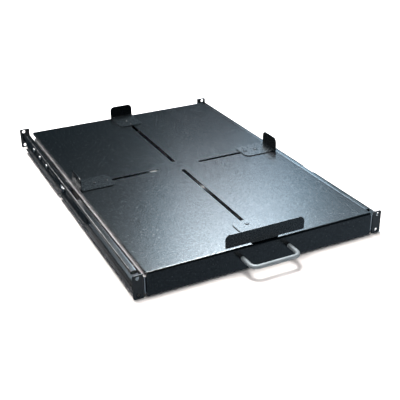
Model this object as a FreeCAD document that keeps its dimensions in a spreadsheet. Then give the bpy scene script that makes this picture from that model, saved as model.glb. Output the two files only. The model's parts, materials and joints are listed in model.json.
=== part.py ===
import FreeCAD, Part
import os
import Sketcher
from FreeCAD import Vector, Placement, Rotation

# Sliding shelf for a 19-inch rack, one rack unit high.
# X to the right, Y to the rear, Z up. The bodies are drawn with their heights
# counted from the lower edge of the rack ears and are then lowered by half an
# ear, so that the origin is the centre of the front rack-hole pattern.

doc = FreeCAD.newDocument("SlidingRackShelf")
sheet = doc.addObject("Spreadsheet::Sheet", "Dims")

DIMS = [
    # rack ears and their holes
    ("ear_height", 43.65, "height of a one-unit rack ear"),
    ("ear_outer", 241.3, "half of the 482.6 mm width over the ears"),
    ("ear_inner", 223.2, "inner edge of a front ear"),
    ("rear_ear_inner", 219.0, "inner edge of a rear ear"),
    ("ear_thick", 2.0, "ear plate"),
    ("ear_round", 3.0, "ear corner radius"),
    ("hole_side", 232.55, "half of the 465.1 mm hole spacing"),
    ("hole_rise", 15.875, "half of the 31.75 mm hole spacing"),
    ("hole_radius", 3.5, "rack hole"),
    ("rack_depth", 716.6, "front face of the front ears to rear face of the rear ears"),
    # tray sheet
    ("deck_top", 44.0, "upper face of the deck"),
    ("deck_thick", 1.2, "tray sheet"),
    ("deck_half", 218.2, "half width of the tray"),
    ("deck_front", -1.0, "front face of the panel"),
    ("deck_join", 8.0, "where the panel sheet meets the deck"),
    ("deck_rear", 684.0, "rear face of the tray"),
    ("panel_low", 0.5, "lower edge of the front panel"),
    ("return_depth", 16.0, "rear edge of the panel's lower return"),
    ("rear_low", 0.1, "lower edge of the rear flange"),
    ("hem_low", 38.4, "lower edge of the side hems"),
    ("rear_half", 196.0, "half width of the rear flange's deep middle"),
    ("front_bend", 4.0, "outer bend radius of the front edge"),
    ("side_bend", 1.4, "outer bend radius of the side edges"),
    ("slot_half", 4.0, "half width of the stop slots"),
    ("cross_y", 352.5, "line of the left and right slots"),
    ("front_slot_a", 37.0, "front slot, front end centre"),
    ("front_slot_b", 328.0, "front slot, rear end centre"),
    ("rear_slot_a", 380.0, "rear slot, front end centre"),
    ("rear_slot_b", 657.0, "rear slot, rear end centre"),
    ("side_slot_a", 50.0, "side slot, inner end centre"),
    ("side_slot_b", 187.0, "side slot, outer end centre"),
    # pull handle
    ("grip_half", 45.5, "half of the handle's leg spacing"),
    ("grip_rise", 23.5, "height of the handle"),
    ("grip_reach", 37.0, "bar centre in front of the ears"),
    ("grip_rod", 4.0, "radius of the handle rod"),
    ("grip_bend", 12.0, "centre-line bend radius of the handle"),
    # telescopic slides, section sizes
    ("slide_thick", 1.4, "slide sheet"),
    ("outer_back", 221.4, "outer face of the outer slide's web"),
    ("outer_lip", 210.0, "edge of the outer slide's flanges"),
    ("outer_rise", 15.5, "half height of the outer slide"),
    ("middle_back", 218.0, "outer face of the middle slide's web"),
    ("middle_lip", 207.0, "edge of the middle slide's flanges"),
    ("middle_rise", 11.5, "half height of the middle slide"),
    ("inner_back", 203.2, "face of the inner slide's web on the hanger"),
    ("inner_lip", 214.5, "edge of the inner slide's flanges"),
    ("inner_rise", 7.5, "half height of the inner slide"),
    ("ball_radius", 1.6, "slide ball"),
    ("race_radius", 1.7, "ball groove"),
    ("outer_race_x", 213.5, "line of the outer balls"),
    ("outer_race_z", 12.8, "outer balls above and below the slide's middle"),
    ("inner_race_x", 211.0, "line of the inner balls"),
    ("inner_race_z", 8.8, "inner balls above and below the slide's middle"),
    ("cage_thick", 0.7, "ball cage strip"),
    ("cage_hole", 1.65, "ball pocket radius"),
    ("cage_front", 170.0, "front end of the ball cages"),
    ("cage_length", 330.0, "length of the ball cages"),
    ("ball_first", 185.0, "first ball"),
    ("ball_pitch", 50.0, "ball spacing"),
    ("outer_slide_front", 0.7, "outer slide, front end"),
    ("outer_slide_rear", 662.0, "outer slide, rear end"),
    ("middle_slide_front", 10.0, "middle slide, front end"),
    ("middle_slide_rear", 652.6, "middle slide, rear end"),
    ("inner_slide_front", 18.0, "inner slide, front end"),
    ("inner_slide_rear", 652.6, "inner slide, rear end"),
    ("bumper_front", 653.4, "front face of the rubber bumper"),
    ("bumper_rear", 661.4, "rear face of the rubber bumper"),
    ("bumper_rise", 8.0, "half height of the rubber bumper"),
    # rail channel beside the tray
    ("channel_back", 234.7, "outer face of the rail channel"),
    ("channel_lip", 224.6, "inner edge of the rail channel's flanges"),
    ("channel_thick", 1.5, "rail channel sheet"),
    ("channel_rise", 15.975, "half height of the rail channel"),
    ("channel_bend", 2.5, "outer bend radius of the rail channel"),
    ("channel_front", 25.0, "rail channel, front end"),
    ("channel_rear", 686.0, "rail channel, rear end"),
    ("edge_roll", 1.6, "width of the rolled-over inner edge of the upper flange"),
    ("edge_drop", 0.14, "height of the rolled-over edge"),
    ("window_front", 309.0, "window in the left channel's upper flange"),
    ("window_rear", 355.0, "window in the left channel's upper flange"),
    ("post_radius", 5.0, "post between channel and slide"),
    ("stub_radius", 2.5, "swaged end of a post"),
    ("stub_play", 0.05, "play of a swaged end or a thread in its hole"),
    # brackets
    ("bracket_thick", 1.2, "bracket sheet"),
    ("bracket_bend", 2.0, "inner bend radius of the bracket flanges"),
    ("bracket_lip", 240.9, "outer edge of the bracket flanges"),
    ("bracket_low", 9.65, "lower face of the brackets"),
    ("bracket_high", 34.0, "upper face of the front bracket"),
    ("ledge_inner", 223.6, "inner edge of the ledges behind the front ear"),
    ("ledge_rear", 22.0, "rear edge of those ledges"),
    ("front_flange_end", 215.0, "end of the front bracket's upper flange"),
    ("front_web_end", 395.0, "end of the front bracket's web"),
    ("front_lip_end", 403.0, "end of the front bracket's lower flange"),
    ("bracket_gap", 0.25, "play between the rear bracket and what it slides on"),
    ("tongue_front", 240.0, "front end of the rear bracket's tongue"),
    ("tongue_low", 15.0, "lower edge of the tongue"),
    ("tongue_high", 36.0, "upper edge of the rear bracket"),
    ("tongue_cut", 9.0, "cut corners of the tongue"),
    ("joggle_front", 400.4, "start of the step in the rear bracket"),
    ("joggle_run", 4.0, "length of the step"),
    ("rear_lip_front", 412.0, "start of the rear bracket's lower flange"),
    ("rear_lip_end", 676.0, "end of the rear bracket's lower flange"),
    ("rear_clear", 700.0, "rear end of the slanted cut below the rear bracket"),
    ("rear_clear_high", 20.0, "lower edge of the rear bracket at its ear"),
    ("clamp_rise", 31.0, "line of the clamp screws"),
    ("clamp_slot", 2.5, "half width of the clamp slots"),
    ("clamp_travel", 56.0, "length of adjustment in the clamp slots"),
    ("clamp_a", 388.0, "clamp screw on the tongue"),
    ("clamp_b", 508.0, "first clamp screw on the plate"),
    ("clamp_c", 560.0, "second clamp screw on the plate"),
    ("clamp_d", 609.0, "third clamp screw on the plate"),
    # tray hangers
    ("hanger_thick", 1.4, "hanger sheet"),
    ("hanger_low", 8.0, "lower edge of a hanger"),
    ("hanger_inner", 188.0, "inner edge of a hanger's upper flange"),
    ("hanger_front", 22.0, "hanger, front end"),
    ("hanger_rear", 672.0, "hanger, rear end"),
    # stops
    ("stop_thick", 1.5, "stop sheet"),
    ("stop_lift", 0.25, "play between a stop and the deck"),
    ("stop_half", 27.0, "half width of a small stop"),
    ("stop_reach", 72.0, "length of a small stop's plate"),
    ("stop_height", 28.0, "upper edge of a stop above the deck"),
    ("stop_screw_a", 35.8, "outer screw, from the tab"),
    ("stop_screw_b", 60.8, "inner screw, from the tab"),
    ("side_stop_face", 217.8, "outer face of the left and right tabs"),
    ("rear_stop_face", 685.6, "outer face of the rear tab"),
    ("front_stop_face", 1.75, "outer face of the front tab"),
    ("front_stop_half", 76.0, "half width of the front tab"),
    ("neck_half", 25.0, "half width of the front stop's plate and neck"),
    ("front_stop_rear", 80.0, "rear edge of the front stop's plate"),
    ("front_wing_low", 3.3, "lower edge of the front tab's wings above the deck"),
    ("front_screw_a", 41.0, "front stop, first screw"),
    ("front_screw_b", 66.0, "front stop, second screw"),
    # screws
    ("shank_radius", 2.0, "M4 screw"),
    ("head_radius", 4.0, "pan head radius"),
    ("head_high", 2.2, "pan head height"),
    ("stop_head_high", 1.3, "height of a stop screw's flat head"),
    ("nut_flat", 3.5, "half width of a nut across its flats"),
    ("nut_high", 3.2, "height of a nut above its flange"),
    ("nut_flange", 5.0, "radius of a nut's flange"),
]


class Q:
    """A size: its value and the spreadsheet expression that drives it."""

    def __init__(self, text, val):
        self.text, self.val = text, float(val)

    def _pair(self, other):
        return other if isinstance(other, Q) else Q(repr(float(other)), other)

    def __add__(self, o):
        o = self._pair(o)
        return Q("(%s + %s)" % (self.text, o.text), self.val + o.val)

    def __sub__(self, o):
        o = self._pair(o)
        return Q("(%s - %s)" % (self.text, o.text), self.val - o.val)

    def __mul__(self, o):
        o = self._pair(o)
        return Q("(%s * %s)" % (self.text, o.text), self.val * o.val)

    def __truediv__(self, o):
        o = self._pair(o)
        return Q("(%s / %s)" % (self.text, o.text), self.val / o.val)

    def __neg__(self):
        return Q("(0 - %s)" % self.text, -self.val)


class Sizes:
    pass


S = Sizes()
for row, (alias, value, note) in enumerate(DIMS, start=1):
    sheet.set("A%d" % row, note)
    sheet.set("B%d" % row, str(value))
    sheet.setAlias("B%d" % row, alias)
    setattr(S, alias, Q("Dims." + alias, value))
doc.recompute()


def q(v):
    return v if isinstance(v, Q) else Q(repr(float(v)), v)


MID = S.ear_height / 2  # middle of the ears and of the slides
nodes = []  # every sub-part that is written, in order
counter = [0]


def bind(obj, prop, size):
    size = q(size)
    obj.setExpression(prop, size.text)


def name_of(prefix):
    counter[0] += 1
    return "%s%03d" % (prefix, counter[0])


def lower(obj):
    """Bring a sub-part from ear-edge heights to the part's own frame."""
    obj.Placement = Placement(Vector(0, 0, -MID.val), Rotation())
    obj.setExpression("Placement.Base.z", "-Dims.ear_height / 2")


def body(label, keep=True):
    b = doc.addObject("PartDesign::Body", label)
    b.Label = label
    lower(b)
    if keep:
        nodes.append(b)
    return b


def mirrored(source, label, keep=True):
    m = doc.addObject("Part::Mirroring", label)
    m.Label = label
    m.Source = source
    m.Base = Vector(0, 0, 0)
    m.Normal = Vector(1, 0, 0)
    if keep:
        nodes.append(m)
    return m


def plane(b, role):
    for f in b.Origin.OriginFeatures:
        if f.Role == role:
            return f


def sketch(b, role, offset):
    s = b.newObject("Sketcher::SketchObject", name_of("Sketch"))
    s.AttachmentSupport = [(plane(b, role), "")]
    s.MapMode = "FlatFace"
    offset = q(offset)
    s.AttachmentOffset = Placement(Vector(0, 0, offset.val), Rotation())
    bind(s, "AttachmentOffset.Base.z", offset)
    return s


def fix(s, kind, geo, pos, size):
    size = q(size)
    c = s.addConstraint(Sketcher.Constraint(kind, -1, 1, geo, pos, size.val))
    s.setExpression("Constraints[%d]" % c, size.text)


def polygon(s, points):
    pts = [(q(a), q(b)) for a, b in points]
    first = s.GeometryCount
    n = len(pts)
    for i in range(n):
        a, b = pts[i], pts[(i + 1) % n]
        s.addGeometry(
            Part.LineSegment(Vector(a[0].val, a[1].val, 0), Vector(b[0].val, b[1].val, 0))
        )
    for i in range(n):
        s.addConstraint(
            Sketcher.Constraint("Coincident", first + i, 2, first + (i + 1) % n, 1)
        )
    for i in range(n):
        fix(s, "DistanceX", first + i, 1, pts[i][0])
        fix(s, "DistanceY", first + i, 1, pts[i][1])


def circle(s, u, v, r):
    u, v, r = q(u), q(v), q(r)
    g = s.addGeometry(Part.Circle(Vector(u.val, v.val, 0), Vector(0, 0, 1), r.val))
    c = s.addConstraint(Sketcher.Constraint("Radius", g, r.val))
    s.setExpression("Constraints[%d]" % c, r.text)
    fix(s, "DistanceX", g, 3, u)
    fix(s, "DistanceY", g, 3, v)


def join_arc(s, arc, hits):
    """Tie an arc's two ends to the line ends that they lie on."""
    ends = [s.getPoint(arc, 1), s.getPoint(arc, 2)]
    for line, pos in hits:
        p = s.getPoint(line, pos)
        end = 1 if ends[0].distanceToPoint(p) < ends[1].distanceToPoint(p) else 2
        s.addConstraint(Sketcher.Constraint("Coincident", line, pos, arc, end))


def obround(s, a, b, w, r, along="u"):
    """A slot from end centre a to end centre b on the line w, of half width r."""
    a, b, w, r = q(a), q(b), q(w), q(r)

    def uv(p, d):
        return (p, d) if along == "u" else (d, p)

    corners = [uv(a, w + r), uv(b, w + r), uv(b, w - r), uv(a, w - r)]

    def vec(p):
        return Vector(p[0].val, p[1].val, 0)

    first = s.GeometryCount
    s.addGeometry(Part.LineSegment(vec(corners[0]), vec(corners[1])))
    s.addGeometry(Part.LineSegment(vec(corners[2]), vec(corners[3])))
    end_b = uv(b + r, w)
    end_a = uv(a - r, w)
    arc_b = Part.Arc(vec(corners[1]), vec(end_b), vec(corners[2]))
    arc_a = Part.Arc(vec(corners[3]), vec(end_a), vec(corners[0]))
    for line, pos, corner in (
        (first, 1, corners[0]),
        (first, 2, corners[1]),
        (first + 1, 1, corners[2]),
        (first + 1, 2, corners[3]),
    ):
        fix(s, "DistanceX", line, pos, corner[0])
        fix(s, "DistanceY", line, pos, corner[1])
    for arc, centre, hits in (
        (arc_b, b, ((first, 2), (first + 1, 1))),
        (arc_a, a, ((first + 1, 2), (first, 1))),
    ):
        g = s.addGeometry(arc)
        join_arc(s, g, hits)
        fix(s, "DistanceX" if along == "u" else "DistanceY", g, 3, centre)


def pad(b, s, length, reverse=False):
    f = b.newObject("PartDesign::Pad", name_of("Pad"))
    f.Profile = s
    f.Length = q(length).val
    bind(f, "Length", length)
    f.Reversed = reverse
    doc.recompute()
    return f


def pocket(b, s, length, reverse=False):
    before = b.Tip.Shape.Volume
    f = b.newObject("PartDesign::Pocket", name_of("Pocket"))
    f.Profile = s
    f.Length = q(length).val
    bind(f, "Length", length)
    f.Reversed = reverse
    doc.recompute()
    if f.Shape.isNull() or f.Shape.Volume >= before - 1e-6:
        raise RuntimeError("%s in %s removes nothing" % (f.Name, b.Label))
    return f


def slab(b, x0, x1, y0, y1, z0, z1):
    s = sketch(b, "XY_Plane", z0)
    polygon(s, [(x0, y0), (x1, y0), (x1, y1), (x0, y1)])
    return pad(b, s, q(z1) - z0)


def cut_slab(b, x0, x1, y0, y1, z0, z1):
    s = sketch(b, "XY_Plane", z1)
    polygon(s, [(x0, y0), (x1, y0), (x1, y1), (x0, y1)])
    return pocket(b, s, q(z1) - z0)


def section_y(b, points, y0, y1):
    """A closed section in X and Z, run from y0 to y1."""
    s = sketch(b, "XZ_Plane", -q(y0))
    polygon(s, points)
    return pad(b, s, q(y1) - y0, True)


def section_x(b, points, x0, x1):
    """A closed section in Y and Z, run from x0 to x1."""
    s = sketch(b, "YZ_Plane", x0)
    polygon(s, points)
    return pad(b, s, q(x1) - x0)


def cove(b, x, z, r, y0, y1):
    """The inner bend between a web at x and the flange below it at z."""
    x, z, r = q(x), q(z), q(r)
    lap = 0.2
    s = sketch(b, "XZ_Plane", -q(y0))
    pts = [
        (x, z + r),
        (x - lap, z + r),
        (x - lap, z - lap),
        (x + r, z - lap),
        (x + r, z),
    ]
    for i in range(4):
        a, c = pts[i], pts[i + 1]
        s.addGeometry(
            Part.LineSegment(Vector(a[0].val, a[1].val, 0), Vector(c[0].val, c[1].val, 0))
        )
    for i in range(3):
        s.addConstraint(Sketcher.Constraint("Coincident", i, 2, i + 1, 1))
    for i in range(4):
        fix(s, "DistanceX", i, 1, pts[i][0])
        fix(s, "DistanceY", i, 1, pts[i][1])
    fix(s, "DistanceX", 3, 2, pts[4][0])
    fix(s, "DistanceY", 3, 2, pts[4][1])
    k45 = 1 - 0.70710678
    middle = Vector(x.val + r.val * k45, z.val + r.val * k45, 0)
    arc = s.addGeometry(
        Part.Arc(
            Vector(x.val + r.val, z.val, 0), middle, Vector(x.val, z.val + r.val, 0)
        )
    )
    join_arc(s, arc, ((3, 2), (0, 1)))
    fix(s, "DistanceX", arc, 3, x + r)
    return pad(b, s, q(y1) - y0, True)


def holes_y(b, spots, y0, y1):
    s = sketch(b, "XZ_Plane", -q(y0))
    for x, z, r in spots:
        circle(s, x, z, r)
    return pocket(b, s, q(y1) - y0)


def holes_x(b, spots, x0, x1):
    s = sketch(b, "YZ_Plane", x1)
    for y, z, r in spots:
        circle(s, y, z, r)
    return pocket(b, s, q(x1) - x0)


def holes_z(b, spots, z0, z1):
    s = sketch(b, "XY_Plane", z1)
    for x, y, r in spots:
        circle(s, x, y, r)
    return pocket(b, s, q(z1) - z0)


def edges_of(shape, axis, **where):
    """Straight edges along an axis whose middle lies where it is asked."""
    picked = []
    index = {"x": 0, "y": 1, "z": 2}
    for i, e in enumerate(shape.Edges, start=1):
        if len(e.Vertexes) != 2 or e.Curve.TypeId != "Part::GeomLine":
            continue
        d = e.Vertexes[1].Point - e.Vertexes[0].Point
        if abs(abs(d[index[axis]]) - d.Length) > 1e-6:
            continue
        mid = (e.Vertexes[1].Point + e.Vertexes[0].Point) * 0.5
        if all(abs(mid[index[k]] - q(v).val) < 0.02 for k, v in where.items()):
            picked.append("Edge%d" % i)
    return picked


def rounded(b, radius, picks):
    base = b.Tip
    names = []
    for axis, where in picks:
        found = edges_of(base.Shape, axis, **where)
        if not found:
            raise RuntimeError("no edge for %s %s in %s" % (axis, {k: q(v).val for k, v in where.items()}, b.Label))
        names += found
    f = b.newObject("PartDesign::Fillet", name_of("Fillet"))
    f.Base = (base, sorted(set(names)))
    f.Radius = q(radius).val
    bind(f, "Radius", radius)
    doc.recompute()
    if f.Shape.isNull() or "Invalid" in f.State:
        raise RuntimeError("rounding failed in %s" % b.Label)
    return f


def cut_corner(b, size, picks):
    base = b.Tip
    names = []
    for axis, where in picks:
        names += edges_of(base.Shape, axis, **where)
    f = b.newObject("PartDesign::Chamfer", name_of("Chamfer"))
    f.Base = (base, sorted(set(names)))
    f.Size = q(size).val
    bind(f, "Size", size)
    doc.recompute()
    return f


def cylinder(radius, length, x, y, z, axis):
    """A round bar whose first end is at x, y, z and which runs along +axis or -axis."""
    turn = {
        "+z": Rotation(),
        "-z": Rotation(Vector(1, 0, 0), 180),
        "+x": Rotation(Vector(0, 1, 0), 90),
        "-x": Rotation(Vector(0, 1, 0), -90),
        "+y": Rotation(Vector(1, 0, 0), -90),
        "-y": Rotation(Vector(1, 0, 0), 90),
    }[axis]
    c = doc.addObject("Part::Cylinder", name_of("Round"))
    c.Radius, c.Height = q(radius).val, q(length).val
    bind(c, "Radius", radius)
    bind(c, "Height", length)
    x, y, z = q(x), q(y), q(z)
    c.Placement = Placement(Vector(x.val, y.val, z.val), turn)
    bind(c, "Placement.Base.x", x)
    bind(c, "Placement.Base.y", y)
    bind(c, "Placement.Base.z", z)
    return c


def joined(*shapes):
    f = doc.addObject("Part::MultiFuse", name_of("Joined"))
    f.Shapes = list(shapes)
    f.Refine = True
    return f


def less(base, tool):
    f = doc.addObject("Part::Cut", name_of("Less"))
    f.Base, f.Tool = base, tool
    return f


def softened(base, radius, pick):
    """Round the circular edges that pick chooses by their centre."""
    doc.recompute()
    f = doc.addObject("Part::Fillet", name_of("Soft"))
    f.Base = base
    f.Edges = [
        (i, radius, radius)
        for i, e in enumerate(base.Shape.Edges, start=1)
        if e.Curve.TypeId == "Part::GeomCircle" and pick(e)
    ]
    doc.recompute()
    return f


def group(label, members, keep=True):
    g = doc.addObject("Part::Compound", label)
    g.Label = label
    g.Links = members
    lower(g)
    if keep:
        nodes.append(g)
    return g


# ---------------------------------------------------------------- rack ears
def ear(label, inner, y0, y1):
    b = body(label)
    s = sketch(b, "XZ_Plane", -q(y0))
    zero = q(0.0)
    polygon(
        s,
        [
            (inner, zero),
            (S.ear_outer, zero),
            (S.ear_outer, S.ear_height),
            (inner, S.ear_height),
        ],
    )
    for sign in (-1, 1):
        circle(s, S.hole_side, MID + S.hole_rise * sign, S.hole_radius)
    pad(b, s, q(y1) - y0, True)
    rounded(
        b,
        S.ear_round,
        [("y", {"x": S.ear_outer, "z": 0}), ("y", {"x": S.ear_outer, "z": S.ear_height})],
    )
    rounded(
        b,
        0.8,
        [("y", {"x": inner, "z": 0}), ("y", {"x": inner, "z": S.ear_height})],
    )
    return b


right_front_ear = ear("right_front_ear", S.ear_inner, 0.0, S.ear_thick)
mirrored(right_front_ear, "left_front_ear")
right_rear_ear = ear("right_rear_ear", S.rear_ear_inner, S.rack_depth - S.ear_thick, S.rack_depth)
mirrored(right_rear_ear, "left_rear_ear")

# ------------------------------------------------------------ front bracket
# A channel that opens outwards and fits between the two holes of the ear.
b = body("right_front_bracket")
web_out = S.channel_back + S.bracket_thick
low_in = S.bracket_low + S.bracket_thick
high_in = S.bracket_high - S.bracket_thick
slab(b, S.channel_back, web_out, S.ear_thick, S.front_web_end, S.bracket_low, S.bracket_high)
slab(b, web_out, S.bracket_lip, S.ear_thick, S.front_flange_end, high_in, S.bracket_high)
slab(b, web_out, S.bracket_lip, S.ear_thick, S.front_lip_end, S.bracket_low, low_in)
slab(b, S.ledge_inner, S.channel_back, S.ear_thick, S.ledge_rear, high_in, S.bracket_high)
slab(b, S.ledge_inner, S.channel_back, S.ear_thick, S.ledge_rear, S.bracket_low, low_in)
rounded(
    b,
    2.5,
    [
        ("z", {"x": S.bracket_lip, "y": S.front_flange_end}),
        ("z", {"x": S.bracket_lip, "y": S.front_lip_end}),
    ],
)
rounded(b, 0.5, [("y", {"x": S.bracket_lip, "z": S.bracket_high})])
rounded(b, 1.0, [("y", {"x": S.bracket_lip, "z": low_in})])
cove(b, web_out, low_in, S.bracket_bend, S.ear_thick, S.front_web_end)
holes_x(
    b,
    [(S.clamp_a, S.clamp_rise, S.shank_radius + S.stub_play)],
    S.channel_back - 0.5,
    web_out + 0.5,
)
mirrored(b, "left_front_bracket")

# ------------------------------------------------------------- rail channel
# The strip beside the tray: a channel that opens towards the tray.
POSTS = [60.0, 220.0, 430.0, 620.0]
b = body("right_rail_channel")
c_in = S.channel_back - S.channel_thick
c_low, c_high = MID - S.channel_rise, MID + S.channel_rise
section_y(
    b,
    [
        (S.channel_back, c_low),
        (S.channel_back, c_high),
        (S.channel_lip + S.edge_roll, c_high),
        (S.channel_lip, c_high - S.edge_drop),
        (S.channel_lip, c_high - S.channel_thick),
        (c_in, c_high - S.channel_thick),
        (c_in, c_low + S.channel_thick),
        (S.channel_lip, c_low + S.channel_thick),
        (S.channel_lip, c_low),
    ],
    S.channel_front,
    S.channel_rear,
)
rounded(
    b,
    S.channel_bend,
    [("y", {"x": S.channel_back, "z": c_high}), ("y", {"x": S.channel_back, "z": c_low})],
)
rounded(
    b,
    S.channel_bend - S.channel_thick,
    [
        ("y", {"x": c_in, "z": c_high - S.channel_thick}),
        ("y", {"x": c_in, "z": c_low + S.channel_thick}),
    ],
)
rounded(
    b,
    0.5,
    [
        ("y", {"x": S.channel_lip, "z": c_high - S.edge_drop}),
        ("y", {"x": S.channel_lip, "z": c_low}),
    ],
)
holes_x(
    b,
    [(y, MID, S.stub_radius + S.stub_play) for y in POSTS]
    + [
        (y, S.clamp_rise, S.shank_radius + S.stub_play)
        for y in (S.clamp_a, S.clamp_b, S.clamp_c, S.clamp_d)
    ],
    c_in - 0.5,
    S.channel_back + 0.5,
)
whole_left = mirrored(b, "left_channel_blank", False)
window = doc.addObject("Part::Box", "ChannelWindow")
for prop, size in (
    ("Length", S.channel_back - S.channel_bend - 0.2 - S.channel_lip + 2),
    ("Width", S.window_rear - S.window_front),
    ("Height", S.channel_thick + 1.5),
    ("Placement.Base.x", -(S.channel_back - S.channel_bend - 0.2)),
    ("Placement.Base.y", S.window_front),
    ("Placement.Base.z", c_high - S.channel_thick - 0.5 - MID),
):
    bind(window, prop, size)
doc.recompute()
left_channel = less(whole_left, window)
left_channel.Label = "left_rail_channel"
doc.recompute()
if left_channel.Shape.Volume >= whole_left.Shape.Volume - 1e-6:
    raise RuntimeError("the window removes nothing")
nodes.append(left_channel)

# Posts that hold the outer slide to the rail channel, swaged at both ends.
posts = []
for y in POSTS:
    posts.append(
        joined(
            cylinder(S.post_radius, c_in - S.outer_back, S.outer_back, y, MID, "+x"),
            cylinder(
                S.stub_radius,
                S.channel_back - S.outer_back + S.slide_thick,
                S.outer_back - S.slide_thick,
                y,
                MID,
                "+x",
            ),
        )
    )
mirrored(group("right_slide_posts", posts), "left_slide_posts")

# ------------------------------------------------------------- clamp screws
screws = []
plate_out = S.channel_back + S.bracket_gap + S.bracket_thick
tongue_in = S.channel_back + S.bracket_thick + S.bracket_gap + 0.05
tongue_out = tongue_in + S.bracket_thick
washer_in = tongue_out + S.bracket_gap
washer_out = washer_in + 0.8


def pan_head(radius, high, x, y, z, axis):
    """A low domed screw head: a disc with a rounded rim and a cross-shaped drive."""
    disc = cylinder(radius, high, x, y, z, axis)
    doc.recompute()
    direction = {"+x": 0, "+z": 2, "+y": 1, "-y": 1, "-x": 0, "-z": 2}[axis]
    far = max if axis[0] == "+" else min
    edge = far(
        e.Curve.Center[direction]
        for e in disc.Shape.Edges
        if e.Curve.TypeId == "Part::GeomCircle"
    )
    return softened(
        disc,
        min(0.55 * q(high).val, 1.2),
        lambda e: abs(e.Curve.Center[direction] - edge) < 1e-6,
    )


def drive(x, y, z, axis):
    """The cross recess of a screw head, as two crossed bars sunk into it."""
    bars = []
    for turn in (0, 1):
        k = doc.addObject("Part::Box", name_of("Bar"))
        size = [0.0, 0.0, 0.0]
        n = "xyz".index(axis[1])
        others = [i for i in range(3) if i != n]
        size[n] = 2.4
        size[others[turn]] = 3.6
        size[others[1 - turn]] = 0.8
        k.Length, k.Width, k.Height = size
        at = [q(x).val, q(y).val, q(z).val]
        k.Placement = Placement(Vector(*[at[i] - size[i] / 2 for i in range(3)]), Rotation())
        for i, letter in enumerate("xyz"):
            bind(k, "Placement.Base." + letter, q((x, y, z)[i]) - size[i] / 2)
        bars.append(k)
    return joined(*bars)


def screw(head_r, head_h, x, y, z, axis, length):
    """A screw whose head sits at x, y, z and points along axis, the shank the other way."""
    back = {"+": "-", "-": "+"}[axis[0]] + axis[1]
    top = [q(x), q(y), q(z)]
    n = "xyz".index(axis[1])
    top[n] = top[n] + q(head_h) if axis[0] == "+" else top[n] - q(head_h)
    whole = joined(
        pan_head(head_r, head_h, x, y, z, axis),
        cylinder(S.shank_radius, length, x, y, z, back),
    )
    return less(whole, drive(top[0], top[1], top[2], axis))


screws.append(
    screw(S.head_radius, 1.9, washer_out, S.clamp_a, S.clamp_rise, "+x", washer_out - c_in)
)
head_at = plate_out + S.bracket_gap
for y in (S.clamp_b, S.clamp_c, S.clamp_d):
    screws.append(screw(4.5, 2.0, head_at, y, S.clamp_rise, "+x", head_at - c_in))
mirrored(group("right_clamp_screws", screws), "left_clamp_screws")

b = body("right_clamp_washer")
s = sketch(b, "YZ_Plane", washer_in)
obround(s, S.clamp_a - 7.5, S.clamp_a + 7.5, S.clamp_rise, 4.5)
circle(s, S.clamp_a, S.clamp_rise, S.shank_radius + 0.2)
pad(b, s, washer_out - washer_in)
mirrored(b, "left_clamp_washer")

# ------------------------------------------------------------- rear bracket
# A plate on the rail channel whose stepped tongue lies on the front bracket.
b = body("right_rear_bracket")
plate_in = S.channel_back + S.bracket_gap
ear_front = S.rack_depth - S.ear_thick
s = sketch(b, "XY_Plane", S.bracket_low)
step = S.joggle_front + S.joggle_run
polygon(
    s,
    [
        (tongue_out, S.tongue_front),
        (tongue_out, S.joggle_front + 0.6),
        (plate_out, step + 0.6),
        (plate_out, ear_front),
        (plate_in, ear_front),
        (plate_in, step),
        (tongue_in, S.joggle_front),
        (tongue_in, S.tongue_front),
    ],
)
pad(b, s, S.tongue_high - S.bracket_low)
cut_slab(
    b,
    plate_in - 1,
    tongue_out + 1,
    S.tongue_front - 1,
    S.rear_lip_front - 2,
    S.bracket_low - 1,
    S.tongue_low,
)
slab(b, plate_out, S.bracket_lip, S.rear_lip_front, S.rear_lip_end, S.bracket_low, low_in)
# the plate rises towards its ear, so that the lower rack hole stays clear
s = sketch(b, "YZ_Plane", plate_out + 1)
polygon(
    s,
    [
        (S.rear_lip_end, S.bracket_low - 1),
        (ear_front + 1, S.bracket_low - 1),
        (ear_front + 1, S.rear_clear_high),
        (S.rear_clear, S.rear_clear_high),
        (S.rear_lip_end, low_in),
    ],
)
pocket(b, s, plate_out - plate_in + 2)
cut_corner(
    b,
    S.tongue_cut,
    [
        ("x", {"y": S.tongue_front, "z": S.tongue_high}),
        ("x", {"y": S.tongue_front, "z": S.tongue_low}),
    ],
)
rounded(
    b,
    2.5,
    [
        ("z", {"x": S.bracket_lip, "y": S.rear_lip_front}),
        ("z", {"x": S.bracket_lip, "y": S.rear_lip_end}),
    ],
)
rounded(b, 1.0, [("y", {"x": S.bracket_lip, "z": low_in})])
cove(b, plate_out, low_in, S.bracket_bend, S.rear_lip_front + 2.5, S.rear_lip_end - 2.5)
s = sketch(b, "YZ_Plane", tongue_out + 1)
obround(s, S.clamp_a - S.clamp_travel, S.clamp_a + 1, S.clamp_rise, S.clamp_slot)
obround(s, S.clamp_b - S.clamp_travel, S.clamp_d + 1, S.clamp_rise, S.clamp_slot)
pocket(b, s, tongue_out - plate_in + 2)
mirrored(b, "left_rear_bracket")

# ------------------------------------------------------------------- slides


def channel_section(back, lip, rise, thick):
    """A channel from its web's back face to the edge of its flanges."""
    back, lip, rise = q(back), q(lip), q(rise)
    way = -1 if lip.val < back.val else 1
    face = back + q(thick) * way
    return [
        (back, MID - rise),
        (back, MID + rise),
        (lip, MID + rise),
        (lip, MID + rise - thick),
        (face, MID + rise - thick),
        (face, MID - rise + thick),
        (lip, MID - rise + thick),
        (lip, MID - rise),
    ]


def slide(label, back, lip, rise, y0, y1, races):
    b = body(label)
    section_y(b, channel_section(back, lip, rise, S.slide_thick), y0, y1)
    rounded(b, 1.5, [("y", {"x": back, "z": MID + rise}), ("y", {"x": back, "z": MID - rise})])
    spots = []
    for x, z in races:
        spots += [(x, MID + z, S.race_radius), (x, MID - z, S.race_radius)]
    holes_y(b, spots, q(y0) - 1, q(y1) + 1)
    return b


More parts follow.
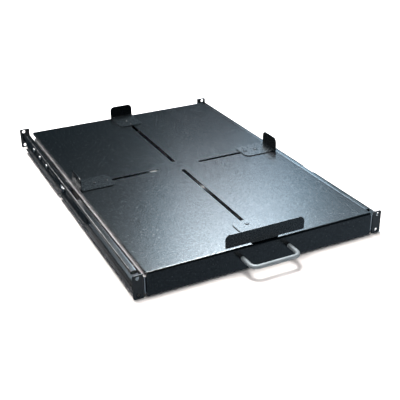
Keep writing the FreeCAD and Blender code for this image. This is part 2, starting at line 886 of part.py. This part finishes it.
b = slide(
    "right_outer_slide",
    S.outer_back,
    S.outer_lip,
    S.outer_rise,
    S.outer_slide_front,
    S.outer_slide_rear,
    [(S.outer_race_x, S.outer_race_z)],
)
holes_x(
    b,
    [(y, MID, S.stub_radius + S.stub_play) for y in POSTS],
    S.outer_back - S.slide_thick - 0.5,
    S.outer_back + 0.5,
)
mirrored(b, "left_outer_slide")

b = slide(
    "right_middle_slide",
    S.middle_back,
    S.middle_lip,
    S.middle_rise,
    S.middle_slide_front,
    S.middle_slide_rear,
    [(S.outer_race_x, S.outer_race_z), (S.inner_race_x, S.inner_race_z)],
)
mirrored(b, "left_middle_slide")

SLIDE_SCREWS = [70.0, 250.0, 430.0, 600.0]
b = slide(
    "right_inner_slide",
    S.inner_back,
    S.inner_lip,
    S.inner_rise,
    S.inner_slide_front,
    S.inner_slide_rear,
    [(S.inner_race_x, S.inner_race_z)],
)
holes_x(
    b,
    [(y, MID, S.shank_radius + S.stub_play) for y in SLIDE_SCREWS],
    S.inner_back - 0.5,
    S.inner_back + S.slide_thick + 0.5,
)
mirrored(b, "left_inner_slide")


def cage(label, back, lip, rise, race_x):
    b = body(label)
    back, lip, rise = q(back), q(lip), q(rise)
    section_y(
        b,
        channel_section(back, lip, rise, S.cage_thick),
        S.cage_front,
        S.cage_front + S.cage_length,
    )
    s = sketch(b, "XY_Plane", MID + rise + 1)
    circle(s, race_x, S.ball_first, S.cage_hole)
    hole = pocket(b, s, rise * 2 + 2)
    row = b.newObject("PartDesign::LinearPattern", name_of("Row"))
    row.Originals = [hole]
    row.Direction = (s, ["V_Axis"])
    row.Length = S.ball_pitch.val * 6
    row.setExpression("Length", "Dims.ball_pitch * 6")
    row.Occurrences = 7
    b.Tip = row
    doc.recompute()
    if row.Shape.Volume >= hole.Shape.Volume - 1e-6:
        raise RuntimeError("the row of pockets in %s removes nothing" % label)
    return b


b = cage(
    "right_outer_ball_cage",
    S.middle_back + 0.65 + S.cage_thick,
    S.outer_lip - 0.5,
    S.outer_race_z + S.cage_thick / 2,
    S.outer_race_x,
)
mirrored(b, "left_outer_ball_cage")
b = cage(
    "right_inner_ball_cage",
    S.inner_lip + 0.7 + S.cage_thick,
    S.middle_lip + 0.5,
    S.inner_race_z + S.cage_thick / 2,
    S.inner_race_x,
)
mirrored(b, "left_inner_ball_cage")


def balls(label, x, z):
    row = []
    for i in range(7):
        for sign in (-1, 1):
            k = doc.addObject("Part::Sphere", name_of("Ball"))
            k.Radius = S.ball_radius.val
            bind(k, "Radius", S.ball_radius)
            y = S.ball_first + S.ball_pitch * i
            zz = MID + z * sign
            k.Placement = Placement(Vector(x.val, y.val, zz.val), Rotation())
            bind(k, "Placement.Base.x", x)
            bind(k, "Placement.Base.y", y)
            bind(k, "Placement.Base.z", zz)
            row.append(k)
    return group(label, row)


mirrored(balls("right_outer_balls", S.outer_race_x, S.outer_race_z), "left_outer_balls")
mirrored(balls("right_inner_balls", S.inner_race_x, S.inner_race_z), "left_inner_balls")

# Rubber bumpers that the slides close against.
b = body("right_slide_bumper")
slab(
    b,
    S.outer_lip + 1,
    S.outer_back - S.slide_thick,
    S.bumper_front,
    S.bumper_rear,
    MID - S.bumper_rise,
    MID + S.bumper_rise,
)
rounded(
    b,
    1.5,
    [
        ("x", {"y": S.bumper_front, "z": MID + S.bumper_rise}),
        ("x", {"y": S.bumper_front, "z": MID - S.bumper_rise}),
    ],
)
mirrored(b, "left_slide_bumper")

# --------------------------------------------------------------------- tray
b = body("tray_pan")
under = S.deck_top - S.deck_thick
hem_in = S.deck_half - S.deck_thick
section_y(
    b,
    [
        (-S.deck_half, S.hem_low),
        (-S.deck_half, S.deck_top),
        (S.deck_half, S.deck_top),
        (S.deck_half, S.hem_low),
        (hem_in, S.hem_low),
        (hem_in, under),
        (-hem_in, under),
        (-hem_in, S.hem_low),
    ],
    S.deck_join,
    S.deck_rear,
)
rounded(
    b,
    S.side_bend,
    [("y", {"x": -S.deck_half, "z": S.deck_top}), ("y", {"x": S.deck_half, "z": S.deck_top})],
)
rounded(
    b,
    S.side_bend - S.deck_thick,
    [("y", {"x": -hem_in, "z": under}), ("y", {"x": hem_in, "z": under})],
)
panel_in = S.deck_front + S.deck_thick
section_x(
    b,
    [
        (S.deck_join, S.deck_top),
        (S.deck_front, S.deck_top),
        (S.deck_front, S.panel_low),
        (S.return_depth, S.panel_low),
        (S.return_depth, S.panel_low + S.deck_thick),
        (panel_in, S.panel_low + S.deck_thick),
        (panel_in, under),
        (S.deck_join, under),
    ],
    -(S.deck_half - S.side_bend),
    S.deck_half - S.side_bend,
)
rounded(
    b,
    S.front_bend,
    [("x", {"y": S.deck_front, "z": S.deck_top})],
)
rounded(
    b,
    S.front_bend - S.deck_thick,
    [("x", {"y": panel_in, "z": under})],
)
rounded(b, 2.0, [("x", {"y": S.deck_front, "z": S.panel_low})])
# the panel is as wide as the hems, beside the deck's rounded corners
for sign in (-1, 1):
    a = S.deck_half * sign
    c = (S.deck_half - S.side_bend) * sign
    lo, hi = (a, c) if sign < 0 else (c, a)
    slab(
        b,
        lo,
        hi,
        S.deck_front,
        panel_in,
        S.panel_low + 2.0,
        S.deck_top - S.front_bend,
    )
# the rear flange is as low as the hems over the slides, and deeper between them
slab(
    b,
    -(hem_in + 0.1),
    hem_in + 0.1,
    S.deck_rear - S.deck_thick,
    S.deck_rear,
    S.hem_low,
    under + 0.1,
)
slab(
    b,
    -S.rear_half,
    S.rear_half,
    S.deck_rear - S.deck_thick,
    S.deck_rear,
    S.rear_low,
    S.hem_low + 0.1,
)
s = sketch(b, "XY_Plane", S.deck_top + 1)
obround(s, S.front_slot_a, S.front_slot_b, 0.0, S.slot_half, "v")
obround(s, S.rear_slot_a, S.rear_slot_b, 0.0, S.slot_half, "v")
obround(s, S.side_slot_a, S.side_slot_b, S.cross_y, S.slot_half)
obround(s, -S.side_slot_b, -S.side_slot_a, S.cross_y, S.slot_half)
pocket(b, s, S.deck_thick + 2)
holes_y(
    b,
    [(S.grip_half, S.grip_rise, 2.2), (-S.grip_half, S.grip_rise, 2.2)],
    S.deck_front - 0.5,
    panel_in + 0.5,
)

# Hangers under the deck, which carry the inner slides.
b = body("right_tray_hanger")
hang_in = S.inner_back - S.hanger_thick
section_y(
    b,
    [
        (S.inner_back, S.hanger_low),
        (S.inner_back, under),
        (S.hanger_inner, under),
        (S.hanger_inner, under - S.hanger_thick),
        (hang_in, under - S.hanger_thick),
        (hang_in, S.hanger_low),
    ],
    S.hanger_front,
    S.hanger_rear,
)
rounded(b, 2.0, [("y", {"x": S.inner_back, "z": under})])
rounded(b, 0.6, [("y", {"x": hang_in, "z": under - S.hanger_thick})])
holes_x(
    b,
    [(y, MID, S.shank_radius + 0.1) for y in SLIDE_SCREWS],
    hang_in - 0.5,
    S.inner_back + 0.5,
)
mirrored(b, "left_tray_hanger")
mirrored(
    group(
        "right_slide_screws",
        [screw(S.head_radius, S.head_high, hang_in, y, MID, "-x", 3.7) for y in SLIDE_SCREWS],
    ),
    "left_slide_screws",
)

# ------------------------------------------------------------------- handle
b = body("handle")
path = sketch(b, "XY_Plane", S.grip_rise)
gy, gx, gr = -S.grip_reach, S.grip_half, S.grip_bend
pts = {
    "a": (-gx.val, S.deck_front.val),
    "b": (-gx.val, gy.val + gr.val),
    "c": (-gx.val + gr.val, gy.val),
    "d": (gx.val - gr.val, gy.val),
    "e": (gx.val, gy.val + gr.val),
    "f": (gx.val, S.deck_front.val),
}
v = {k: Vector(p[0], p[1], 0) for k, p in pts.items()}
k45 = 0.70710678
mid_l = Vector(-gx.val + gr.val * (1 - k45), gy.val + gr.val * (1 - k45), 0)
mid_r = Vector(gx.val - gr.val * (1 - k45), gy.val + gr.val * (1 - k45), 0)
path.addGeometry(Part.LineSegment(v["a"], v["b"]))
path.addGeometry(Part.Arc(v["b"], mid_l, v["c"]))
path.addGeometry(Part.LineSegment(v["c"], v["d"]))
path.addGeometry(Part.Arc(v["d"], mid_r, v["e"]))
path.addGeometry(Part.LineSegment(v["e"], v["f"]))
for geo, pos, x, y in (
    (0, 1, -gx, S.deck_front),
    (0, 2, -gx, gy + gr),
    (2, 1, gr - gx, gy),
    (2, 2, gx - gr, gy),
    (4, 1, gx, gy + gr),
    (4, 2, gx, S.deck_front),
):
    fix(path, "DistanceX", geo, pos, x)
    fix(path, "DistanceY", geo, pos, y)
for arc, hits in ((1, ((0, 2), (2, 1))), (3, ((2, 2), (4, 1)))):
    join_arc(path, arc, hits)
    fix(path, "DistanceX", arc, 3, (gr - gx) if arc == 1 else (gx - gr))
doc.recompute()
ring = sketch(b, "XZ_Plane", -S.deck_front)
circle(ring, -gx, S.grip_rise, S.grip_rod)
doc.recompute()
pipe = b.newObject("PartDesign::AdditivePipe", "HandleRod")
pipe.Profile = ring
pipe.Spine = (path, ["Edge1", "Edge2", "Edge3", "Edge4", "Edge5"])
doc.recompute()
s = sketch(b, "XZ_Plane", -S.deck_front)
circle(s, gx, S.grip_rise, S.shank_radius + S.stub_play)
circle(s, -gx, S.grip_rise, S.shank_radius + S.stub_play)
pocket(b, s, 11.0, True)
group(
    "handle_screws",
    [
        screw(S.head_radius, S.head_high, gx * sign, panel_in, S.grip_rise, "+y", 10.5)
        for sign in (-1, 1)
    ],
)


# -------------------------------------------------------------------- stops
def place(obj, x, y, turn):
    """Set a stop's group on the deck: its tab's outer face on x, y, turned about Z."""
    x, y = q(x), q(y)
    z = S.deck_top - MID
    obj.Placement = Placement(Vector(x.val, y.val, z.val), Rotation(Vector(0, 0, 1), turn))
    bind(obj, "Placement.Base.x", x)
    bind(obj, "Placement.Base.y", y)
    obj.setExpression("Placement.Base.z", "Dims.deck_top - Dims.ear_height / 2")


def hex_nut(x, y, z):
    """A flanged nut hanging below z on the screw's line."""
    k = doc.addObject("Part::Prism", name_of("Hex"))
    k.Polygon = 6
    k.Circumradius = S.nut_flat.val / 0.8660254
    bind(k, "Circumradius", S.nut_flat / 0.8660254)
    k.Height = S.nut_high.val
    bind(k, "Height", S.nut_high)
    x, y, z = q(x), q(y), q(z)
    low = z - S.nut_high - 1.0
    k.Placement = Placement(Vector(x.val, y.val, low.val), Rotation())
    bind(k, "Placement.Base.x", x)
    bind(k, "Placement.Base.y", y)
    bind(k, "Placement.Base.z", low)
    whole = joined(k, cylinder(S.nut_flange, 1.0, x, y, z, "-z"))
    return less(whole, cylinder(S.shank_radius + S.stub_play, S.nut_high + 3, x, y, z + 1, "-z"))


def fasteners(label, spots, x, y, turn):
    top = S.stop_lift + S.stop_thick
    below = -(S.deck_thick + S.stop_lift)
    length = top - below + S.nut_high + 1.6
    heads = group(
        label + "_screws",
        [screw(S.head_radius, S.stop_head_high, sx, sy, top, "+z", length) for sx, sy in spots],
    )
    nuts = group(label + "_nuts", [hex_nut(sx, sy, below) for sx, sy in spots])
    for g in (heads, nuts):
        place(g, x, y, turn)


def small_stop(label, x, y, turn):
    b = body(label)
    low, high = S.stop_lift, S.stop_lift + S.stop_thick
    zero = q(0.0)
    slab(b, -S.stop_half, S.stop_half, -S.stop_reach, zero, low, high)
    slab(b, -S.stop_half, S.stop_half, -S.stop_thick, zero, low, S.stop_height)
    rounded(
        b,
        12.0,
        [
            ("z", {"x": S.stop_half, "y": -S.stop_reach}),
            ("z", {"x": -S.stop_half, "y": -S.stop_reach}),
        ],
    )
    rounded(
        b,
        10.0,
        [
            ("y", {"x": S.stop_half, "z": S.stop_height}),
            ("y", {"x": -S.stop_half, "z": S.stop_height}),
        ],
    )
    rounded(b, 2.4, [("x", {"y": zero, "z": low})])
    rounded(b, 0.9, [("x", {"y": -S.stop_thick, "z": high})])
    spots = [(zero, -S.stop_screw_a), (zero, -S.stop_screw_b)]
    holes_z(b, [(sx, sy, S.shank_radius + 0.2) for sx, sy in spots], low - 1, high + 1)
    place(b, x, y, turn)
    fasteners(label, spots, x, y, turn)


small_stop("rear_stop", 0.0, S.rear_stop_face, 0)
small_stop("right_stop", S.side_stop_face, S.cross_y, -90)
small_stop("left_stop", -S.side_stop_face, S.cross_y, 90)

# The wide front stop: its wings stand clear of the deck beside a narrow neck.
b = body("front_stop")
low, high = S.stop_lift, S.stop_lift + S.stop_thick
zero = q(0.0)
reach = S.front_stop_rear - S.front_stop_face
slab(b, -S.neck_half, S.neck_half, zero, reach, low, high)
slab(b, -S.neck_half, S.neck_half, zero, S.stop_thick, low, S.stop_height)
slab(b, -S.front_stop_half, S.front_stop_half, zero, S.stop_thick, S.front_wing_low, S.stop_height)
rounded(
    b,
    10.0,
    [("z", {"x": S.neck_half, "y": reach}), ("z", {"x": -S.neck_half, "y": reach})],
)
rounded(
    b,
    10.0,
    [
        ("y", {"x": S.front_stop_half, "z": S.stop_height}),
        ("y", {"x": -S.front_stop_half, "z": S.stop_height}),
    ],
)
rounded(
    b,
    1.5,
    [
        ("y", {"x": S.front_stop_half, "z": S.front_wing_low}),
        ("y", {"x": -S.front_stop_half, "z": S.front_wing_low}),
    ],
)
rounded(b, 2.4, [("x", {"y": zero, "z": low})])
rounded(b, 0.9, [("x", {"y": S.stop_thick, "z": high})])
spots = [
    (zero, S.front_screw_a - S.front_stop_face),
    (zero, S.front_screw_b - S.front_stop_face),
]
holes_z(b, [(sx, sy, S.shank_radius + 0.2) for sx, sy in spots], low - 1, high + 1)
place(b, 0.0, S.front_stop_face, 0)
fasteners("front_stop", spots, 0.0, S.front_stop_face, 0)

# -------------------------------------------------------------- write it out
doc.recompute()
bad = [o.Name for o in doc.Objects if "Invalid" in o.State or "Error" in o.State]
if bad:
    raise RuntimeError("failed objects: %s" % bad)
for o in nodes:
    if o.Shape.isNull() or not o.Shape.isValid():
        raise RuntimeError("bad shape: %s" % o.Label)
labels = [o.Label for o in nodes]
if len(set(labels)) != len(labels) or len(labels) > 60:
    raise RuntimeError("labels: %d, %d different" % (len(labels), len(set(labels))))
os.makedirs("parts", exist_ok=True)
for o in nodes:
    o.Shape.exportStep("parts/%s.step" % o.Label)
    box = o.Shape.BoundBox
    print(
        "%-24s solids %2d  vol %10.1f  x %8.2f %8.2f  y %8.2f %8.2f  z %7.2f %7.2f"
        % (
            o.Label,
            len(o.Shape.Solids),
            o.Shape.Volume,
            box.XMin,
            box.XMax,
            box.YMin,
            box.YMax,
            box.ZMin,
            box.ZMax,
        )
    )
print("nodes", len(nodes))
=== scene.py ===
import json
import math

import bpy
from mathutils import Matrix, Vector

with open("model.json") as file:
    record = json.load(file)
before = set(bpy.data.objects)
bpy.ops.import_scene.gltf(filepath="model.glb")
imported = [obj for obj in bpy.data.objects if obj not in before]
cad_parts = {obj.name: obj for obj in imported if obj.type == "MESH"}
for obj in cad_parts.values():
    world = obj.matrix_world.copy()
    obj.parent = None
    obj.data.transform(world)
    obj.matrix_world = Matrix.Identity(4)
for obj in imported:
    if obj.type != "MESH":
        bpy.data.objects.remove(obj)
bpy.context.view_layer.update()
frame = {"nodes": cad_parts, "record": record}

nodes = frame["nodes"]
scene = bpy.context.scene
FLOOR_Z = -0.021825 - 0.0004


# ------------------------------------------------------------------ materials
def new_material(name):
    m = bpy.data.materials.new(name)
    m.use_nodes = True
    t = m.node_tree
    t.nodes.clear()
    out = t.nodes.new("ShaderNodeOutputMaterial")
    shader = t.nodes.new("ShaderNodeBsdfPrincipled")
    t.links.new(shader.outputs[0], out.inputs[0])
    return m, t, shader


def coords(t, stretch=None):
    c = t.nodes.new("ShaderNodeTexCoord")
    if stretch is None:
        return c.outputs["Object"]
    mp = t.nodes.new("ShaderNodeMapping")
    mp.inputs["Scale"].default_value = stretch
    t.links.new(c.outputs["Object"], mp.inputs["Vector"])
    return mp.outputs["Vector"]


def noise(t, where, scale, detail=3.0, rough=0.55):
    n = t.nodes.new("ShaderNodeTexNoise")
    n.inputs["Scale"].default_value = scale
    n.inputs["Detail"].default_value = detail
    n.inputs["Roughness"].default_value = rough
    t.links.new(where, n.inputs["Vector"])
    return n.outputs["Fac"]


def spread(t, value, low, high, start=0.35, end=0.65):
    r = t.nodes.new("ShaderNodeMapRange")
    r.inputs["From Min"].default_value = start
    r.inputs["From Max"].default_value = end
    r.inputs["To Min"].default_value = low
    r.inputs["To Max"].default_value = high
    t.links.new(value, r.inputs["Value"])
    return r.outputs["Result"]


def blend_colour(t, value, a, b, start=0.35, end=0.65):
    r = t.nodes.new("ShaderNodeValToRGB")
    r.color_ramp.elements[0].position = start
    r.color_ramp.elements[0].color = (*a, 1)
    r.color_ramp.elements[1].position = end
    r.color_ramp.elements[1].color = (*b, 1)
    t.links.new(value, r.inputs["Fac"])
    return r.outputs["Color"]


def bump(t, shader, layers, normal=None):
    """Layers are (height, strength, distance); each adds to the one before."""
    for height, strength, distance in layers:
        b = t.nodes.new("ShaderNodeBump")
        b.inputs["Strength"].default_value = strength
        b.inputs["Distance"].default_value = distance
        t.links.new(height, b.inputs["Height"])
        if normal is not None:
            t.links.new(normal, b.inputs["Normal"])
        normal = b.outputs["Normal"]
    t.links.new(normal, shader.inputs["Normal"])


def facets(t, where, size, tilt):
    """Normals of small facets, each leaning its own way, as on a fine texture coat."""
    v = t.nodes.new("ShaderNodeTexVoronoi")
    v.inputs["Scale"].default_value = 1.0 / size
    t.links.new(where, v.inputs["Vector"])
    centred = t.nodes.new("ShaderNodeVectorMath")
    centred.operation = "SUBTRACT"
    t.links.new(v.outputs["Color"], centred.inputs[0])
    centred.inputs[1].default_value = (0.5, 0.5, 0.5)
    lean = t.nodes.new("ShaderNodeVectorMath")
    lean.operation = "SCALE"
    lean.inputs["Scale"].default_value = tilt
    t.links.new(centred.outputs[0], lean.inputs[0])
    geo = t.nodes.new("ShaderNodeNewGeometry")
    total = t.nodes.new("ShaderNodeVectorMath")
    total.operation = "ADD"
    t.links.new(geo.outputs["Normal"], total.inputs[0])
    t.links.new(lean.outputs[0], total.inputs[1])
    unit = t.nodes.new("ShaderNodeVectorMath")
    unit.operation = "NORMALIZE"
    t.links.new(total.outputs[0], unit.inputs[0])
    return unit.outputs[0]


def cells(t, where, size, low, high):
    """A random value for each small grain of the coat."""
    v = t.nodes.new("ShaderNodeTexVoronoi")
    v.inputs["Scale"].default_value = 1.0 / size
    t.links.new(where, v.inputs["Vector"])
    one = t.nodes.new("ShaderNodeSeparateColor")
    t.links.new(v.outputs["Color"], one.inputs[0])
    return spread(t, one.outputs[0], low, high, 0.0, 1.0)


def powder(
    name, dark, light, rough, grain=1500.0, peel=430.0, strength=0.16, specular=0.5, facet=None, sparkle=None
):
    """Fine-textured powder coat: orange peel, fine grain, uneven gloss."""
    m, t, s = new_material(name)
    where = coords(t)
    fine = noise(t, where, grain, 2.0)
    soft = noise(t, where, peel, 2.0, 0.6)
    t.links.new(blend_colour(t, fine, dark, light), s.inputs["Base Color"])
    t.links.new(spread(t, soft, rough[0], rough[1], 0.2, 0.8), s.inputs["Roughness"])
    if sparkle is None:
        s.inputs["Specular IOR Level"].default_value = specular
    else:
        t.links.new(cells(t, where, *sparkle), s.inputs["Specular IOR Level"])
    lean = None if facet is None else facets(t, where, *facet)
    bump(t, s, [(soft, strength, 0.0006), (fine, strength, 0.0002)], lean)
    return m


def plated(name, dark, light, rough, along=(1.0, 0.02, 1.0), strength=0.06):
    """Zinc-plated steel: streaks along the rolled length, cloudy plating."""
    m, t, s = new_material(name)
    streak = noise(t, coords(t, along), 900.0, 3.0)
    cloud = noise(t, coords(t), 60.0, 4.0)
    t.links.new(blend_colour(t, cloud, dark, light), s.inputs["Base Color"])
    t.links.new(spread(t, streak, rough[0], rough[1]), s.inputs["Roughness"])
    s.inputs["Metallic"].default_value = 1.0
    bump(t, s, [(streak, strength, 0.0002)])
    return m


def dark_plated(name, dark, light, rough):
    """Dark passivated sheet: rolled streaks, cloudy plating, fine grain."""
    m, t, s = new_material(name)
    streak = noise(t, coords(t, (1.0, 0.03, 1.0)), 1100.0, 3.0)
    cloud = noise(t, coords(t), 160.0, 3.0)
    grain = noise(t, coords(t), 1400.0, 2.0)
    t.links.new(blend_colour(t, cloud, dark, light), s.inputs["Base Color"])
    t.links.new(spread(t, streak, rough[0], rough[1]), s.inputs["Roughness"])
    s.inputs["Metallic"].default_value = 1.0
    bump(t, s, [(streak, 0.05, 0.0002), (grain, 0.06, 0.0002)])
    return m


def build_materials():
    mats = {}
    mats["tray_black"] = powder(
        "tray_black",
        (0.0005, 0.0011, 0.0016),
        (0.0010, 0.0021, 0.0028),
        (0.20, 0.29),
        facet=(0.0013, 0.035),
        sparkle=(0.0017, 0.36, 0.64),
    )
    mats["stop_black"] = powder(
        "stop_black",
        (0.0014, 0.0026, 0.0034),
        (0.0026, 0.0044, 0.0056),
        (0.22, 0.31),
        facet=(0.0013, 0.03),
        sparkle=(0.0017, 0.36, 0.64),
    )
    mats["ear_black"] = powder(
        "ear_black", (0.008, 0.010, 0.012), (0.014, 0.017, 0.020), (0.38, 0.46)
    )
    mats["bracket_black"] = powder(
        "bracket_black", (0.004, 0.006, 0.0075), (0.008, 0.0105, 0.0125), (0.20, 0.27), strength=0.09
    )
    mats["channel_black"] = dark_plated("channel_black", (0.14, 0.14, 0.141), (0.175, 0.174, 0.172), (0.17, 0.24))
    mats["slide_zinc"] = plated("slide_zinc", (0.50, 0.48, 0.48), (0.62, 0.60, 0.59), (0.30, 0.42))
    mats["screw_zinc"] = plated(
        "screw_zinc", (0.60, 0.61, 0.63), (0.74, 0.75, 0.77), (0.24, 0.34), (1.0, 1.0, 1.0), 0.03
    )
    mats["stop_screw_black"] = powder(
        "stop_screw_black",
        (0.010, 0.012, 0.014),
        (0.020, 0.023, 0.026),
        (0.17, 0.23),
        grain=3000.0,
        strength=0.03,
    )
    mats["ball_chrome"] = plated(
        "ball_chrome", (0.78, 0.78, 0.80), (0.84, 0.84, 0.86), (0.06, 0.10), (1, 1, 1), 0.01
    )
    m, t, s = new_material("cage_black")
    where = coords(t)
    g = noise(t, where, 1800.0, 2.0)
    t.links.new(blend_colour(t, g, (0.014, 0.014, 0.015), (0.026, 0.026, 0.027)), s.inputs["Base Color"])
    t.links.new(spread(t, noise(t, where, 30.0), 0.45, 0.6), s.inputs["Roughness"])
    bump(t, s, [(g, 0.08, 0.0002)])
    mats["cage_black"] = m
    m, t, s = new_material("handle_satin")
    brush = noise(t, coords(t, (1.0, 1.0, 6.0)), 1600.0, 3.0)
    cloud = noise(t, coords(t), 45.0, 4.0)
    t.links.new(blend_colour(t, cloud, (0.20, 0.228, 0.245), (0.25, 0.28, 0.30)), s.inputs["Base Color"])
    t.links.new(spread(t, brush, 0.46, 0.58), s.inputs["Roughness"])
    s.inputs["Metallic"].default_value = 0.35
    bump(t, s, [(brush, 0.08, 0.0002)])
    mats["handle_satin"] = m
    m, t, s = new_material("bumper_rubber")
    where = coords(t)
    g = noise(t, where, 1200.0, 3.0)
    t.links.new(blend_colour(t, g, (0.010, 0.010, 0.010), (0.022, 0.022, 0.022)), s.inputs["Base Color"])
    t.links.new(spread(t, noise(t, where, 90.0), 0.65, 0.85), s.inputs["Roughness"])
    bump(t, s, [(g, 0.2, 0.0003)])
    mats["bumper_rubber"] = m
    return mats


mats = build_materials()
for part in frame["record"]["subparts"]:
    o = nodes[part["node"]]
    for k in o.material_slots:
        k.material = mats[part["material_slot"]]


# --------------------------------------------------------------------- camera
def look(eye, forward, roll_deg):
    f = Vector(forward).normalized()
    right0 = f.cross(Vector((0, 0, 1))).normalized()
    up0 = right0.cross(f)
    r = math.radians(roll_deg)
    right = right0 * math.cos(r) + up0 * math.sin(r)
    up = right.cross(f)
    rot = Matrix((right, up, -f)).transposed().to_4x4()
    return Matrix.Translation(Vector(eye)) @ rot


cam_data = bpy.data.cameras.new("camera")
cam_data.sensor_fit = "HORIZONTAL"
cam_data.sensor_width = 36.0
cam_data.lens = 66.47
cam_data.clip_start = 0.05
cam_data.clip_end = 50.0
cam = bpy.data.objects.new("camera", cam_data)
scene.collection.objects.link(cam)
cam.matrix_world = look((-0.56611, -0.92313, 0.638985), (0.38790, 0.80615, -0.44682), -1.006)
scene.camera = cam


# ---------------------------------------------------------------------- floor
def rectangle(x0, x1, y0, y1):
    return [(x0, y0, FLOOR_Z), (x1, y0, FLOOR_Z), (x1, y1, FLOOR_Z), (x0, y1, FLOOR_Z)]


def make_floor():
    """A wide plain floor that reflections look past, and the patch of it under the shelf."""
    m, t, s = new_material("floor")
    s.inputs["Base Color"].default_value = (0.86, 0.815, 0.80, 1)
    s.inputs["Roughness"].default_value = 0.9
    s.inputs["Specular IOR Level"].default_value = 0.0
    r = 9.0
    patch = rectangle(-0.226, 0.226, 0.004, 0.690)
    wide = rectangle(-r, r, -r, r)
    ring = [(0, 1, 5, 4), (1, 2, 6, 5), (2, 3, 7, 6), (3, 0, 4, 7)]
    for name, verts, faces, mirrored in (
        ("floor", wide + patch, ring, False),
        ("floor_under", patch, [(0, 1, 2, 3)], True),
    ):
        mesh = bpy.data.meshes.new(name)
        mesh.from_pydata(verts, [], faces)
        mesh.materials.append(m)
        o = bpy.data.objects.new(name, mesh)
        scene.collection.objects.link(o)
        o.visible_glossy = mirrored


make_floor()


# --------------------------------------------------------------------- lights
def softbox(name, target, azimuth, elevation, distance, size, power, colour, beam=180.0):
    """A rectangular light seen from target at that azimuth, from +Y towards +X, and elevation."""
    a, e = math.radians(azimuth), math.radians(elevation)
    d = Vector((math.sin(a) * math.cos(e), math.cos(a) * math.cos(e), math.sin(e)))
    data = bpy.data.lights.new(name, "AREA")
    data.shape = "RECTANGLE"
    data.size, data.size_y = size
    data.energy = power
    data.color = colour
    data.spread = math.radians(beam)
    o = bpy.data.objects.new(name, data)
    scene.collection.objects.link(o)
    o.location = Vector(target) + d * distance
    o.rotation_euler = d.to_track_quat("Z", "Y").to_euler()
    return o


DECK = (0.0, 0.2, 0.022)
softbox("key", DECK, 29.4, 40.5, 2.4, (0.742, 1.04), 14.6, (0.58, 0.82, 1.0))
softbox("second", DECK, 43.0, 33.0, 2.4, (1.0, 0.35), 4.2, (0.60, 0.82, 1.0))
softbox("low", DECK, 29.0, 30.0, 2.4, (0.50, 0.30), 2.1, (0.92, 0.92, 1.0))
softbox("right_low", DECK, 36.0, 24.0, 2.4, (0.40, 0.40), 0.8, (0.40, 0.70, 1.0))
softbox("left_mid", (-0.23, 0.05, 0.016), 16.0, 35.0, 2.4, (0.40, 0.40), 0.35, (0.72, 0.88, 1.0))
softbox("high", DECK, 31.0, 48.0, 2.4, (0.40, 0.40), 66.0, (0.92, 0.98, 1.0))
softbox("top", (-0.20, 0.25, 0), 0.0, 81.0, 2.4, (1.25, 1.25), 140.0, (1.0, 0.99, 0.97))
softbox("fill", (0, 0.25, 0), 215.0, 28.0, 2.4, (2.0, 1.2), 7.0, (0.96, 0.98, 1.0))
softbox("left_rear", (-0.36, 0.3, 0), -18.0, 26.0, 2.4, (0.35, 1.1), 0.36, (0.98, 0.98, 1.0), 26.0)


def make_world():
    """Dark above; below the horizon a dim blue-grey that brightens to the front right."""
    world = bpy.data.worlds.new("world")
    scene.world = world
    world.use_nodes = True
    t = world.node_tree
    bg = t.nodes["Background"]
    where = t.nodes.new("ShaderNodeTexCoord")
    split = t.nodes.new("ShaderNodeSeparateXYZ")
    t.links.new(where.outputs["Generated"], split.inputs[0])
    below = spread(t, split.outputs["Z"], 1.0, 0.0, -0.08, 0.08)
    side = blend_colour(t, spread(t, split.outputs["X"], 0.0, 1.0, -1.0, 1.0), (0.016, 0.022, 0.028), (0.60, 0.78, 0.95), 0.40, 0.95)
    ahead = t.nodes.new("ShaderNodeMix")
    ahead.data_type = "RGBA"
    t.links.new(spread(t, split.outputs["Y"], 1.0, 0.0, -0.2, 0.2), ahead.inputs[0])
    ahead.inputs[6].default_value = (0.02, 0.03, 0.04, 1)
    t.links.new(side, ahead.inputs[7])
    mix = t.nodes.new("ShaderNodeMix")
    mix.data_type = "RGBA"
    t.links.new(below, mix.inputs[0])
    mix.inputs[6].default_value = (0.003, 0.014, 0.024, 1)
    t.links.new(ahead.outputs[2], mix.inputs[7])
    t.links.new(mix.outputs[2], bg.inputs["Color"])
    bg.inputs["Strength"].default_value = 1.0


make_world()

scene.view_settings.view_transform = "Standard"
scene.view_settings.look = "None"
scene.view_settings.exposure = 0.0
scene.view_settings.gamma = 1.0
